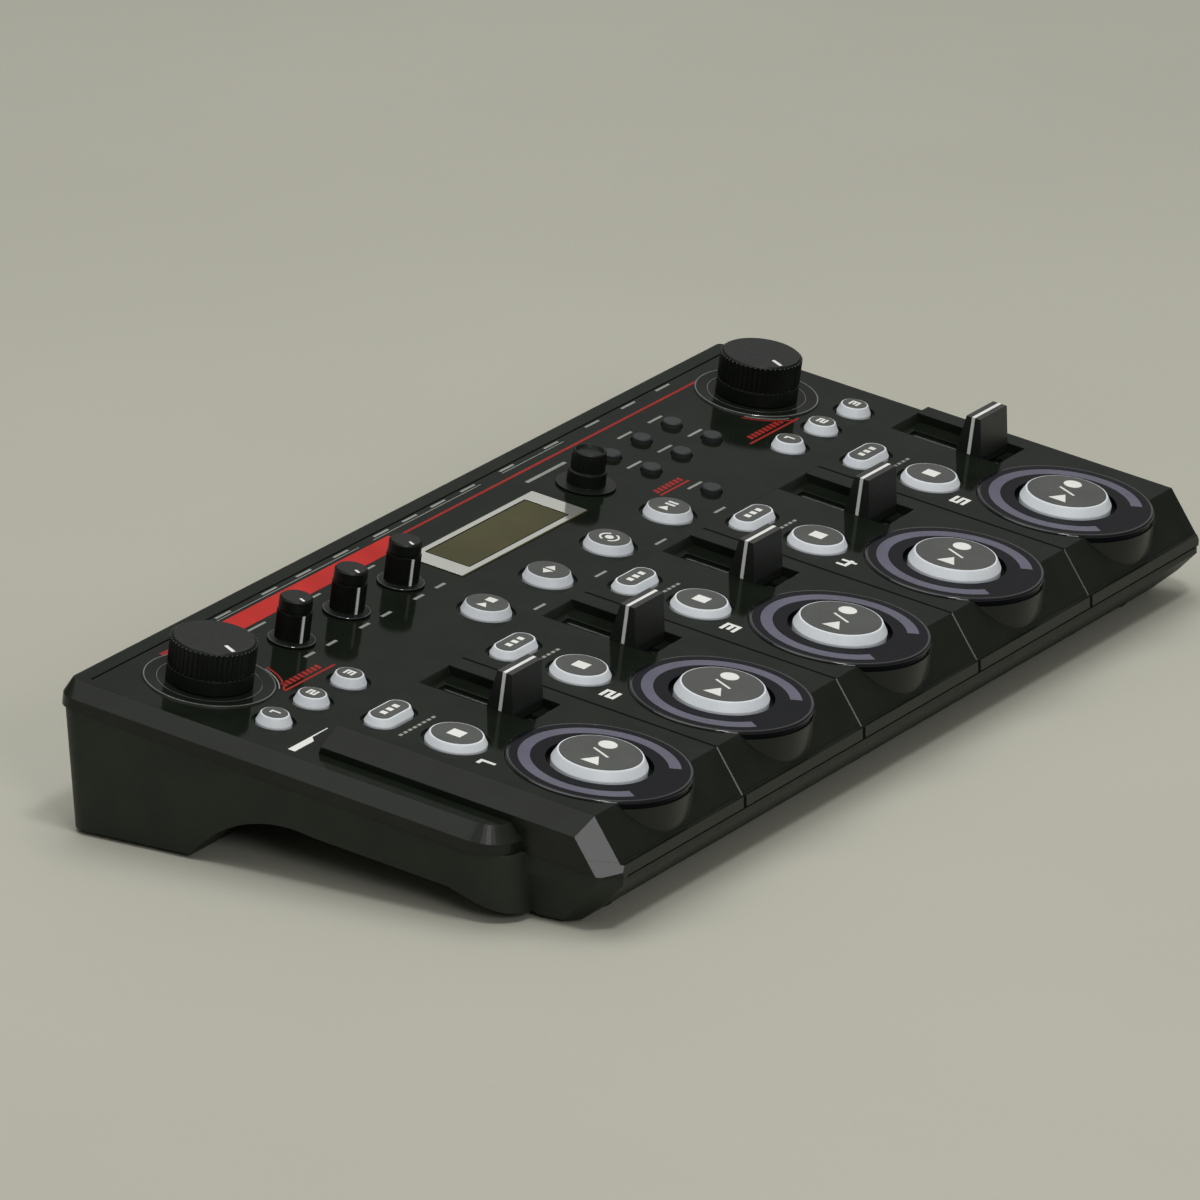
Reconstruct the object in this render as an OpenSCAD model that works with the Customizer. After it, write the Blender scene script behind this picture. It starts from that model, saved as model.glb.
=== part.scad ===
// Five-track table-top loop station: sloped case, track block, buttons, faders, knobs and rear sockets.
// Panel coordinates: u to the right, v up the slope from the pad row, w out of the track block's top face.

/* [Case] */
// Overall width
body_w = 420; // [400:1:440]
// Overall depth
body_d = 200; // [196:1:206]
// Slope of the control panel in degrees
tilt = 7.2; // [6:0.1:8]
// Height of the track block's top face at the pad row
pad_z = 40; // [38:0.5:44]
// Wall thickness of both case halves
wall = 2.5; // [2:0.1:3]
// Step from the track block down to the rear deck
deck_drop = 8.5; // [7.5:0.1:9.5]
// Depth of the parting plane below the track block's top face
part_drop = 17; // [16:0.1:18]
// Bevel along the rails
rail_bevel = 4.7; // [3:0.1:6]
// Bevel along the rear edge
rear_bevel = 2.2; // [1.5:0.1:4]
// Corner radius at the back of the case
rear_corner = 7; // [6:0.5:10]
// Corner radius at the front end of each rail
rail_corner = 13; // [9:0.5:14]
// Front end of the rails, measured from the pad row
rail_front = 1; // [-3:0.5:4]
// How far the foot of each side wall is drawn in
side_draft = 4; // [3:0.5:6]
// How far the foot of the rear wall is drawn in
rear_draft = 2.5; // [2:0.1:3.5]

/* [Underside] */
// Height of the rubber feet
foot_h = 1.5; // [1:0.1:2.5]
// Radius of a rubber foot
foot_r = 5.5; // [4.5:0.5:6]
// Radius of the finger arch
arch_r = 44; // [40:1:48]
// Height of the arch's crown
arch_z = 18.5; // [16:0.5:20]
// Place of the arch's crown, back from the centre
arch_y = 16; // [12:1:20]
// Height of the knee between arch and front foot
knee_z = 10.5; // [8:0.5:13]

/* [Track block] */
// Distance between tracks
track_pitch = 76.5; // [75:0.5:78]
// Bevel along the sides of the track block
block_bevel = 6.2; // [5:0.1:6.5]
// Width of the track block's top face
block_w = 381; // [378:0.5:384]
// Back edge of the track block
block_back = 75.5; // [74.5:0.1:78]
// Crest of the front slope, in front of the pad row
crest = 20; // [18:0.5:22]
// Length of the front slope, seen square to the panel
slope_run = 11.4; // [10:0.1:13]
// Drop of the front slope
slope_drop = 13.1; // [12:0.1:14]
// Lip in front of the slope's foot
lip_run = 1.7; // [1:0.1:2.5]
// Width and depth of the groove between tracks
groove = 1; // [0.6:0.1:1.4]

/* [Loop rings] */
// Place of the pad centre to the side of the track's centre
pad_du = -1.2; // [-3:0.1:3]
// Radius of the smoked ring disc
ring_r = 30.2; // [29:0.1:31]
// Thickness of the ring disc
ring_t = 2.5; // [2:0.1:3]
// Height of the ring disc above the block
ring_rise = 0.6; // [0.2:0.1:1]
// Inner radius of the light arc
arc_in = 22.2; // [20:0.1:23]
// Outer radius of the light arc
arc_out = 26.2; // [25:0.1:27.5]
// Half of the gap at the front of the light arc in degrees
arc_gap = 34; // [25:1:45]

/* [Buttons] */
// Radius of a record and play pad
pad_r = 15.6; // [15:0.1:16]
// Height of a pad above the ring disc
pad_h = 3.1; // [2.6:0.1:4]
// Bevel round a pad's top
pad_bevel = 1.6; // [1:0.1:2]
// Radius of a stop button
stop_r = 10.1; // [9.5:0.1:11]
// Place of the stop and edit buttons to the side of the track's centre
stop_du = -19.6; // [-21:0.1:-18]
// Place of the stop buttons behind the pad row
stop_v = 42.2; // [41:0.1:44]
// Half width of an edit button
edit_r = 5.2; // [4.8:0.1:5.4]
// Distance between the round ends of an edit button
edit_len = 10.4; // [9:0.1:12]
// Place of the edit buttons behind the pad row
edit_v = 67.4; // [66:0.1:67.6]
// Radius of the four transport buttons
mid_r = 8.5; // [8:0.1:9.5]
// Distance between the transport buttons
mid_pitch = 38.9; // [36:0.1:42]
// Place of the transport buttons behind the pad row
mid_v = 99.9; // [98:0.1:102]
// Radius of an effect select button
fx_r = 5.9; // [5.5:0.1:6.5]
// Distance between the effect select buttons
fx_pitch = 22.4; // [20:0.1:24]
// Place of the middle effect select button from the centre
fx_u = 163.5; // [160:0.5:165]
// Place of the effect select buttons behind the pad row
fx_v = 101.2; // [99:0.1:104]
// Radius of a menu button
menu_r = 3.4; // [3:0.1:4]
// Height of the stop and edit buttons above the block
cap_h = 2.4; // [2:0.1:3]
// Height of the white buttons above the deck
deck_cap_h = 2.9; // [2.4:0.1:3.4]
// Bevel round the white buttons' tops
cap_bevel = 1.2; // [0.8:0.1:1.5]
// Width of the sunk collar round a white button
collar = 1.3; // [1:0.1:1.6]
// Height of a menu button above the deck
menu_h = 1.9; // [1.5:0.1:2.5]
// Travel of a pad
pad_travel = 1.5; // [1:0.1:1.8]
// Travel of the other buttons
key_travel = 0.8; // [0.5:0.1:1]

/* [Faders] */
// Place of a fader to the side of the track's centre
fader_du = 20.2; // [19:0.1:21]
// Width of a fader cap
cap_w = 18.4; // [17:0.1:19]
// Depth of a fader cap at its foot
cap_foot = 10; // [9:0.1:11]
// Depth of a fader cap at its top
cap_top = 5.4; // [4.5:0.1:6.5]
// Height of a fader cap above the block
cap_rise = 13.2; // [11:0.1:15]
// Front end of the fader well behind the pad row
well_v = 33; // [32:0.1:34]
// Travel of a fader
fader_travel = 30; // [28:0.5:31]
// Depth of the fader well
well_depth = 3.3; // [2.5:0.1:3.8]
// Rest place of a fader cap above its front stop
fader_rest = 6.2; // [3:0.1:12]

/* [Knobs] */
// Row of the knobs behind the pad row
knob_v = 133.3; // [131:0.1:135]
// Radius of an effect knob
dial_r = 14.2; // [13:0.1:15]
// Height of an effect knob above the deck
dial_h = 15.3; // [13:0.1:17]
// Height of the smooth band under an effect knob's flutes
dial_band = 5.6; // [4:0.1:8]
// Count of an effect knob's flutes
dial_flutes = 50; // [40:1:72]
// Depth of an effect knob's flutes
dial_flute = 0.6; // [0.3:0.1:0.8]
// Place of the effect knobs from the centre
dial_u = 174.2; // [172:0.1:176]
// Radius of the dish round an effect knob
dish_r = 21.8; // [20:0.1:23]
// Height of the dish's rim above the deck
dish_rim = 0.5; // [0.3:0.1:1.2]
// Radius of a level knob
level_r = 5.5; // [5:0.1:6.5]
// Height of a level knob above the deck
level_h = 15.6; // [14:0.1:18]
// Place of the middle level knob
level_u = -93.2; // [-95:0.1:-91]
// Row of the level knobs behind the pad row
level_v = 132.2; // [130:0.1:134]
// Distance between level knobs
level_pitch = 33.5; // [32:0.1:35]
// Radius of the value knob
value_r = 5.7; // [5:0.1:7]
// Radius of the flange under the value knob
value_flange = 10.3; // [9:0.1:11]
// Height of the value knob above the deck
value_h = 12.8; // [11:0.1:15]
// Place of the value knob
value_u = 59; // [57:0.1:61]
// Row of the value knob behind the pad row
value_v = 132.6; // [131:0.1:135]
// Radius of a knob's shaft
shaft_r = 3; // [2.5:0.1:3]

/* [Display] */
// Width of the display window
window_w = 80; // [76:0.5:84]
// Depth of the display window
window_d = 22.4; // [20:0.1:24]
// Middle of the display window behind the pad row
window_v = 131.4; // [130:0.1:133]
// Width of the visible liquid crystal
lcd_w = 64; // [60:0.5:68]
// Depth of the visible liquid crystal
lcd_d = 17.5; // [16:0.1:18]

/* [Sockets] */
// Height of the sockets' centres
socket_z = 23; // [21:0.5:25]
// Radius of a quarter-inch jack's bore
jack_r = 3.2; // [3.2:0.05:3.3]
// Depth of a quarter-inch jack's bore
jack_depth = 29; // [26:1:31]
// Radius of the small headset jack's bore
mini_r = 1.8; // [1.75:0.05:1.9]
// Radius of the microphone socket's well
mic_r = 9.5; // [8:0.5:10]
// Radius of a data socket's well
din_r = 6.9; // [6.5:0.1:7.5]
// Radius of the power inlet's bore
inlet_r = 2.8; // [2.75:0.05:3]
// Travel of the power switch
switch_travel = 3.5; // [3:0.1:4]

/* [Fits] */
// Gap round a moving piece
gap = 0.4; // [0.3:0.05:0.5]
// Gap between fixed pieces
seat = 0.1; // [0.05:0.05:0.2]

/* [Hidden] */
$fn = 48;
eps = 0.01;
hw = body_w / 2;
hd = body_d / 2;
deck = -deck_drop;
parting = -part_drop;
front_reach = crest + slope_run + lip_run;
pad_y = -hd + front_reach * cos(tilt) - part_drop * sin(tilt);
rear_v = (hd - pad_y - part_drop * sin(tilt)) / cos(tilt);
deck_under = deck - wall;
block_under = -wall;
// Body width and deck depth that the panel's layout is drawn for; the layout follows the body from there
drawn_w = 420;
drawn_deck = 92.9896;
across = body_w / drawn_w;
deep = (rear_v - block_back) / drawn_deck;
block_half = across * block_w / 2;
block_wall = block_half + block_bevel;
ring_floor = ring_rise - ring_t;
ring_under = ring_floor - wall;
boss_r = ring_r + seat;
board_t = 1.6;
front_board = block_under - 12;
rear_board = deck_under - 9;
flange = 1.5;
collar_d = 0.8;
ring_bore = pad_r + 1.8;
flange_t = 1.4;
slope_angle = atan2(slope_drop, slope_run);
well_len = fader_travel + cap_foot + 2 * gap;
well_w = cap_w + 2 * gap;
well_floor = -well_depth;
well_plate = 1.5;
fader_mid = well_v + well_len / 2;
fader_v = well_v + gap + cap_foot / 2 + fader_rest;
lever_w = 4;
lever_l = 3;
rear_wall_foot = hd - rear_draft;
jack_face = rear_wall_foot - 1;
jack_wall = jack_face - wall;
nut_t = 2.4;
panel_end = 45;
panel_half = hw - across * panel_end;
panel_rise = 13;
knob_row = deck_row(knob_v);
level_row = deck_row(level_v);
value_row = deck_row(value_v);
window_row = deck_row(window_v);
mid_row = deck_row(mid_v);
fx_row = deck_row(fx_v);
dial_at = across * dial_u;
value_at = across * value_u;
lcd_rim = 3;
tracks = [0:4];
menu_u = across * 86.6;
menu_pitch = across * 20.2;
menu_rows = [deck_row(139.2), deck_row(123.3), deck_row(99.6)];
menu_spots = [
    for (row = [0, 1], i = [0:2]) [menu_u + i * menu_pitch, menu_rows[row]],
    [menu_u, menu_rows[2]]
];
jack_spots = across * [-98, -77, -29, -11, 7, 26];
mini_spot = across * -54;
mic_spot = across * -126;
din_spots = across * [51, 80];
usb_spot = across * 107;
switch_spot = across * 131;
inlet_spot = across * 154;
pillar_r = 3.2;
screw_r = 1.4;
screw_row = block_back - 1;
front_screws = [for (i = [0:3], v = [-13, screw_row]) [groove_u(i), v]];
rear_screws = [for (side = [-1, 1]) [side * (hw - 8.5), deck_row(148)]];
screw_spots = concat(front_screws, rear_screws);
head_w = parting - 6;
foot_y = hd - 28;
nose_foot_y = -hd + 22.3;
foot_spots = [[-hw + 30, foot_y], [hw - 30, foot_y], [-hw + 40, nose_foot_y], [hw - 40, nose_foot_y]];

function deck_row(v) = block_back + deep * (v - block_back);
function track_u(i) = across * (i - 2) * track_pitch;
function groove_u(i) = across * (i - 1.5) * track_pitch;
function mid_u(i) = across * (i - 1.5) * mid_pitch;
function fx_place(side, i) = across * (side * fx_u + (i - 1) * fx_pitch);
function level_place(i) = across * (level_u + (i - 1) * level_pitch);

// Places children on the sloped panel
module panel() {
    translate([0, pad_y, pad_z]) rotate([tilt, 0, 0]) children();
}

module at(u, v, w = 0) {
    translate([u, v, w]) children();
}

// Cylinder along w between two heights
module disc(r, low, high) {
    translate([0, 0, low]) cylinder(r = r, h = high - low);
}

module block_box(u0, u1, v0, v1, w0, w1) {
    translate([u0, v0, w0]) cube([u1 - u0, v1 - v0, w1 - w0]);
}

// Extrudes a profile drawn in the y-z plane along x, centred
module along_x(width) {
    translate([-width / 2, 0, 0]) rotate([90, 0, 90]) linear_extrude(width) children();
}

// Four posts whose hull is the deck's plan, drawn in by an inset; rise moves the rear posts back
module deck_posts(inset, rise, low, high) {
    for (side = [-1, 1]) {
        at(side * (hw - rear_corner), rear_v - rear_corner + rise) disc(rear_corner - inset, low, high);
        at(side * (hw - rail_corner), rail_front + rail_corner) disc(rail_corner - inset, low, high);
    }
}

module deck_solid() {
    hull() {
        deck_posts(0, 0, parting, deck - rail_bevel);
        deck_posts(rail_bevel, rail_bevel - rear_bevel, parting, deck);
    }
}

// Cuts the bevel along one side edge: the edge runs along -y from the origin, outward is +x
module bevel_cut(length) {
    size = 4 * block_bevel;
    rotate([0, 45, 0]) translate([-size, -length, 0]) cube([2 * size, 2 * length, size]);
}

module block_profile() {
    polygon([
        [-front_reach, parting],
        [-front_reach + lip_run * 0.4, -slope_drop],
        [-crest - slope_run, -slope_drop],
        [-crest, 0],
        [block_back, 0],
        [block_back + 2, deck - eps],
        [block_back + 2, parting]
    ]);
}

// Cuts the block's front corner on the right, drawn in by an inset
module corner_cut(inset) {
    at(block_wall - sqrt(2) * inset, -front_reach + block_bevel) rotate([0, 0, -45])
        translate([0, -body_d, -body_d]) cube([body_d, 2 * body_d, 2 * body_d]);
}

module block_solid() {
    difference() {
        along_x(2 * block_wall) block_profile();
        for (side = [0, 1]) mirror([side, 0, 0]) {
            at(block_half, 0) bevel_cut(2 * body_d);
            at(block_half, -crest) rotate([slope_angle, 0, 0]) bevel_cut(2 * body_d);
            corner_cut(0);
        }
    }
}

module block_cavity() {
    difference() {
        along_x(2 * block_half - wall) polygon([
            [-front_reach + wall, parting - 1],
            [-front_reach + wall, -slope_drop - wall],
            [-crest + wall / 2, block_under],
            [block_back - wall, block_under],
            [block_back - wall, parting - 1]
        ]);
        for (side = [0, 1]) mirror([side, 0, 0]) corner_cut(wall);
    }
}

module deck_cavity() {
    v0 = rail_front + rail_corner;
    inner = hw - rail_bevel - wall;
    block_box(-inner, inner, v0, rear_v - rail_bevel - wall, parting - 1, deck_under);
}

module track_grooves() {
    half = groove / sqrt(2);
    lift = groove / 10;
    slope_len = norm([slope_run, slope_drop]);
    for (i = [0:3]) at(groove_u(i), 0) {
        at(0, (block_back - crest) / 2, lift) rotate([90, 45, 0])
            cube([half, half, block_back + crest], center = true);
        at(0, -crest) rotate([90 + slope_angle, 0, 0]) translate([0, lift, slope_len / 2])
            rotate([0, 0, 45]) cube([half, half, slope_len], center = true);
        at(0, -front_reach, -part_drop) rotate([0, 0, 45])
            cube([2 * half, 2 * half, part_drop], center = true);
    }
}

// Rounded slot along u
module stadium(r, length, low, high) {
    for (side = [-1, 1]) at(side * length / 2, 0) disc(r, low, high);
    block_box(-length / 2, length / 2, -r, r, low, high);
}

module deck_line() {
    inset = rail_bevel + 3.6;
    line = 0.6;
    top = deck + 1;
    low = deck - 0.5;
    block_box(-hw + inset, hw - inset, rear_v - inset, rear_v - inset + line, low, top);
}

module fader_well() {
    ramp = 2;
    along_x(well_w) polygon([
        [0, 1], [0, well_floor], [well_len, well_floor], [well_len + ramp, 0], [well_len + ramp, 1]
    ]);
}

module panel_holes() {
    through = 40;
    for (i = tracks) {
        at(track_u(i) + pad_du, 0) disc(pad_r + gap, -through, through);
        at(track_u(i) + pad_du, 0) disc(boss_r, ring_floor, through);
        at(track_u(i) + stop_du, stop_v) disc(stop_r + gap, block_under - 1, through);
        at(track_u(i) + stop_du, stop_v) disc(stop_r + collar, -collar_d, through);
        at(track_u(i) + stop_du, edit_v) stadium(edit_r + gap, edit_len, block_under - 5, through);
        at(track_u(i) + stop_du, edit_v) stadium(edit_r + collar, edit_len, -collar_d, through);
        at(track_u(i) + fader_du, well_v) fader_well();
        at(track_u(i) + fader_du, fader_mid)
            block_box(
                -lever_w / 2 - gap, lever_w / 2 + gap, -well_len / 2 + 2, well_len / 2 - 2, block_under - 4, 0);
    }
    for (i = [0:3]) at(mid_u(i), mid_row) {
        disc(mid_r + gap, -through, through);
        disc(mid_r + collar, deck - collar_d, through);
    }
    for (side = [-1, 1]) {
        for (i = [0:2]) at(fx_place(side, i), fx_row) {
            disc(fx_r + gap, -through, through);
            disc(fx_r + collar, deck - collar_d, through);
        }
        at(side * dial_at, knob_row) disc(shaft_r + gap, -through, through);
    }
    for (spot = menu_spots) at(spot[0], spot[1]) disc(menu_r + gap, -through, through);
    for (i = [0:2]) at(level_place(i), level_row) disc(shaft_r + gap, -through, through);
    at(value_at, value_row) disc(shaft_r + gap, -through, through);
    at(0, window_row) {
        frame_w = window_w / 2 + seat;
        frame_d = window_d / 2 + seat;
        block_box(-frame_w, frame_w, -frame_d, frame_d, deck - 1.5, 0);
        block_box(-lcd_w / 2 - 1, lcd_w / 2 + 1, -lcd_d / 2 - 1, lcd_d / 2 + 1, -through, 0);
    }
}

// Dish round each effect knob
module knob_dishes() {
    for (side = [-1, 1]) at(side * dial_at, knob_row, deck - eps) rotate_extrude()
        polygon([
            [shaft_r + gap, 0], [dish_r, 0], [dish_r - 0.4, dish_rim], [dish_r - 0.9, dish_rim],
            [dial_r + 2, dish_rim / 2], [shaft_r + gap, dish_rim / 2]
        ]);
}

module ring_bosses() {
    for (i = tracks) at(track_u(i) + pad_du, 0) disc(boss_r + 0.4, parting, ring_floor);
}

// Seats under the ring discs
module ring_seats() {
    for (i = tracks) at(track_u(i) + pad_du, 0) disc(boss_r - 1, ring_under, ring_floor);
}

module well_floors() {
    for (i = tracks) at(track_u(i) + fader_du, well_v)
        block_box(
            -well_w / 2 - wall, well_w / 2 + wall, -wall, well_len + wall, well_floor - well_plate, block_under);
}

// Pillars that the case screws enter
module deck_pillars() {
    for (i = [0:3]) at(groove_u(i), screw_row) disc(pillar_r, parting, deck_under);
    for (spot = rear_screws) at(spot[0], spot[1]) disc(pillar_r, parting, deck_under + eps);
}

module block_pillars() {
    for (i = [0:3]) at(groove_u(i), -13) disc(pillar_r, parting, block_under + eps);
}

module screw_bores() {
    for (spot = screw_spots) at(spot[0], spot[1]) disc(screw_r + seat, parting - 1, parting + 5);
}

// Space of the track block: its seam runs along the slope's foot in front and the deck behind
module block_space(grow) {
    front = -2 * front_reach;
    foot = -slope_drop + gap;
    rear = block_back + 2 + seat + grow;
    along_x(2 * (block_wall + seat + grow)) polygon([
        [front, foot], [-crest - slope_run, foot], [rear, deck - 1], [rear, pad_z], [front, pad_z]
    ]);
}

module top_case() {
    color("#2b2e2d") panel() difference() {
        union() {
            difference() {
                union() {
                    deck_solid();
                    block_solid();
                }
                block_cavity();
                deck_cavity();
                block_space(eps);
            }
            knob_dishes();
            deck_pillars();
        }
        panel_holes();
        track_grooves();
        deck_line();
        screw_bores();
    }
}

module track_block() {
    color("#2b2e2d") panel() difference() {
        union() {
            intersection() {
                union() {
                    difference() {
                        union() {
                            block_solid();
                            ring_bosses();
                        }
                        block_cavity();
                    }
                    well_floors();
                    ring_seats();
                }
                block_space(0);
            }
            block_pillars();
        }
        panel_holes();
        track_grooves();
        screw_bores();
    }
}

// Side profile of the bottom case; grow thickens the floor for the inner face
module base_profile(grow) {
    polygon([
        [hd + 20, foot_h + grow],
        [hd + 20, pad_z + 40],
        [-hd - 20, pad_z + 40],
        [-hd - 20, foot_h + 14.8 + 16 + grow],
        [-hd + 16, foot_h + grow],
        [-hd + 29, foot_h + grow],
        [-hd + 55, knee_z + grow],
        [arch_y, arch_z + grow],
        [arch_y, foot_h + grow]
    ]);
}

module base_side(grow) {
    difference() {
        along_x(2 * body_w) base_profile(grow);
        translate([0, arch_y, arch_z - arch_r]) rotate([0, 90, 0])
            cylinder(r = arch_r + grow, h = 3 * body_w, center = true, $fn = 96);
    }
}

// Drafted plan of the bottom case, drawn in by an inset
module base_plan(inset) {
    top = pad_z + 6;
    rail_y = pad_y + rail_front + rail_corner;
    edge = 0.6;
    hull() for (side = [-1, 1]) {
        translate([side * (hw - edge - rear_corner), hd - edge - rear_corner, top])
            disc(rear_corner - inset, 0, eps);
        translate([side * (hw - edge - rail_corner), rail_y, top])
            disc(rail_corner - inset, 0, eps);
        translate([side * (hw - side_draft - rear_corner), rear_wall_foot - rear_corner, 0])
            disc(rear_corner - inset, 0, eps);
        translate([side * (hw - side_draft - rail_corner), rail_y, 0])
            disc(rail_corner - inset, 0, eps);
    }
    nose_half = block_wall - 0.4;
    front_y = -hd + 0.4;
    hull() {
        nose_plate(nose_half - inset, front_y + inset, rail_y + 20, pad_z);
        nose_plate(nose_half - inset, front_y + inset, rail_y + 20, foot_h + 14.8);
        nose_plate(nose_half - 4 - inset, front_y + 15 + inset, rail_y + 20, 0);
    }
}

module nose_plate(half, y0, y1, z) {
    translate([0, 0, z]) linear_extrude(eps) polygon([
        [-half, y0 + block_bevel], [-half + block_bevel, y0], [half - block_bevel, y0],
        [half, y0 + block_bevel], [half, y1], [-half, y1]
    ]);
}

module below_parting(extra) {
    panel() block_box(-2 * hw, 2 * hw, -2 * body_d, 2 * body_d, -4 * body_d, parting + extra);
}

// Slab parallel to the rear wall, centred on the sockets
module rear_slab(half, rise, y0, y1) {
    translate([-half, y0, socket_z - rise]) cube([2 * half, y1 - y0, 2 * rise]);
}

module rear_holes() {
    depth = 4 * wall;
    for (x = jack_spots) rear_bore(x, jack_r + 1.4, depth);
    rear_bore(mini_spot, mini_r + 1.4, depth);
    rear_bore(mic_spot, mic_r + 2.1, depth);
    for (x = din_spots) rear_bore(x, din_r + 1.1, depth);
    rear_bore(inlet_spot, inlet_r + 1.5, depth);
    translate([usb_spot - 6.1, jack_face - depth, socket_z - 5.6]) cube([12.2, 2 * depth, 11.2]);
    translate([switch_spot - 5, jack_face - depth, socket_z - 2.5]) cube([10, 2 * depth, 5]);
}

module rear_bore(x, r, depth) {
    translate([x, jack_face + depth, socket_z]) rotate([90, 0, 0]) cylinder(r = r, h = 2 * depth);
}

module screw_ways(spots) {
    panel() for (spot = spots) at(spot[0], spot[1]) {
        disc(screw_r + seat, head_w - 1, parting + 1);
        disc(2.6 + seat, -pad_z - 40, head_w);
    }
}

// Pillars of the lower half, standing below the parting
module low_pillars(spots, grow) {
    panel() for (spot = spots) at(spot[0], spot[1]) disc(pillar_r + 1 + grow, -pad_z - 40, parting);
}

module bottom_case() {
    color("#262928") difference() {
        union() {
            difference() {
                intersection() {
                    base_plan(0);
                    base_side(0);
                    below_parting(0);
                }
                base_plan(wall);
            }
            intersection() {
                base_plan(0.5);
                base_side(0);
                below_parting(0);
                union() {
                    rear_slab(panel_half + 3, panel_rise + 2, jack_wall, jack_wall + 12);
                    low_pillars(rear_screws, 0);
                }
            }
        }
        rear_slab(panel_half, panel_rise, jack_wall - 10, jack_face + 10);
        screw_ways(rear_screws);
    }
}

// Underside plate inside the walls, bent round the finger arch
module base_plate() {
    color("#222524") difference() {
        union() {
            difference() {
                intersection() {
                    base_plan(wall + seat);
                    base_side(0);
                    below_parting(0);
                }
                base_side(wall);
            }
            intersection() {
                base_plan(wall + seat);
                base_side(0.5);
                below_parting(0);
                low_pillars(front_screws, 0);
            }
        }
        screw_ways(front_screws);
        low_pillars(rear_screws, seat);
        for (spot = foot_spots) translate([spot[0], spot[1], 0]) disc(foot_r + seat, 0, foot_h + 0.8);
    }
}

// Socket panel in the rear wall's window, with a lip behind the window's frame
module rear_panel() {
    lip = 2;
    lip_t = 1.5;
    color("#202322") difference() {
        union() {
            rear_slab(panel_half - seat, panel_rise - seat, jack_wall, jack_face);
            difference() {
                rear_slab(panel_half + lip, panel_rise + lip, jack_wall - lip_t, jack_wall);
                rear_slab(panel_half - 0.7, panel_rise - 0.7, jack_wall - 2 * lip_t, jack_wall + eps);
            }
        }
        rear_holes();
    }
}

module ring_lenses() {
    color("#1c1d20") panel() for (i = tracks) at(track_u(i) + pad_du, 0) difference() {
        rotate_extrude() polygon([
            [ring_bore, ring_floor], [ring_r, ring_floor], [ring_r, ring_rise - 0.8],
            [ring_r - 0.8, ring_rise], [ring_bore, ring_rise]
        ]);
        light_arc(seat, ring_rise - 1, ring_rise + 1);
    }
}

// Arc open at the front, grown by a clearance
module light_arc(grow, low, high) {
    spread = 360 - 2 * arc_gap;
    rotate([0, 0, -90 + arc_gap - grow]) rotate_extrude(angle = spread + 2 * grow)
        translate([arc_in - grow, low]) square([arc_out - arc_in + 2 * grow, high - low]);
}

module ring_diffusers() {
    color("#8d8aa0") panel() for (i = tracks) at(track_u(i) + pad_du, 0)
        light_arc(0, ring_rise - 1, ring_rise);
}

module display_window() {
    color("#c8c9c4") panel() at(0, window_row)
        block_box(-window_w / 2, window_w / 2, -window_d / 2, window_d / 2, deck - 1.5, deck + 0.2);
}

module lcd_module() {
    color("#8c8a62") panel() at(0, window_row) {
        block_box(-lcd_w / 2, lcd_w / 2, -lcd_d / 2, lcd_d / 2, deck - 4.5, deck - 1.5);
        frame_d = window_d / 2 + lcd_rim;
        block_box(-window_w / 2, window_w / 2, -frame_d, frame_d, rear_board, deck - 4.5);
    }
}

module circuit_boards() {
    edge = 8;
    rear_top = (jack_face - 18 - pad_y + rear_board * sin(tilt)) / cos(tilt);
    color("#2f5a3a") panel() {
        half = block_half - edge;
        block_box(-half, half, -6, block_back - 6, front_board - board_t, front_board);
        block_box(-hw + 16, hw - 16, block_back + 4.5, rear_top, rear_board - board_t, rear_board);
        push_switches();
    }
}

// Push switch on a board under a button
module tact(board, top) {
    block_box(-3, 3, -3, 3, board, board + 2);
    disc(1.75, board + 2 - eps, top);
}

module push_switches() {
    translate([0, 0, -eps]) {
        for (i = tracks) {
            at(track_u(i) + pad_du, 0) tact(front_board, front_board + 3.5);
            at(track_u(i) + stop_du, stop_v) tact(front_board, front_board + 3.5);
            at(track_u(i) + stop_du, edit_v) tact(front_board, front_board + 3.5);
        }
        for (i = [0:3]) at(mid_u(i), mid_row) tact(rear_board, rear_board + 3.5);
        for (side = [-1, 1], i = [0:2]) at(fx_place(side, i), fx_row) tact(rear_board, rear_board + 3.5);
        for (spot = menu_spots) at(spot[0], spot[1]) tact(rear_board, rear_board + 3.5);
    }
}

// Slide potentiometer under a fader well
module slide_pots() {
    top = well_floor - well_plate;
    back = block_back - wall - 0.5;
    color("#8a8d8f") panel() for (i = tracks) at(track_u(i) + fader_du, 0) difference() {
        block_box(-4.5, 4.5, well_v - 2, min(back, well_v + well_len), front_board, top);
        at(0, fader_mid)
            block_box(-1 - gap, 1 + gap, -well_len / 2 + 2, well_len / 2 - 2, front_board + 1.5, top + 1);
    }
}

// Rotary potentiometer with its threaded bush under the deck
module pot(board) {
    difference() {
        union() {
            block_box(-5.5, 5.5, -6, 6, board, deck_under - 2.5);
            disc(4.5, deck_under - 2.5 - eps, deck_under);
        }
        disc(shaft_r + gap, board + 1.5, deck);
    }
}

module turn_pots() {
    color("#9a9c9e") panel() {
        for (side = [-1, 1]) at(side * dial_at, knob_row) pot(rear_board);
        for (i = [0:2]) at(level_place(i), level_row) pot(rear_board);
        at(value_at, value_row) pot(rear_board);
    }
}

module pots() {
    slide_pots();
    turn_pots();
}

// Socket body behind the rear wall, open to the back along its bore
module rear_socket(x, bore, depth, sleeve, nut_r, half) {
    translate([x, jack_face, socket_z]) rotate([-90, 0, 0]) difference() {
        union() {
            translate([-half, -half, -depth - 2]) cube([2 * half, 2 * half, depth + 2 - wall]);
            disc(sleeve, -wall - eps, nut_t - eps);
            disc(nut_r, 0, nut_t);
        }
        disc(bore, -depth, nut_t + 1);
    }
}

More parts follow.
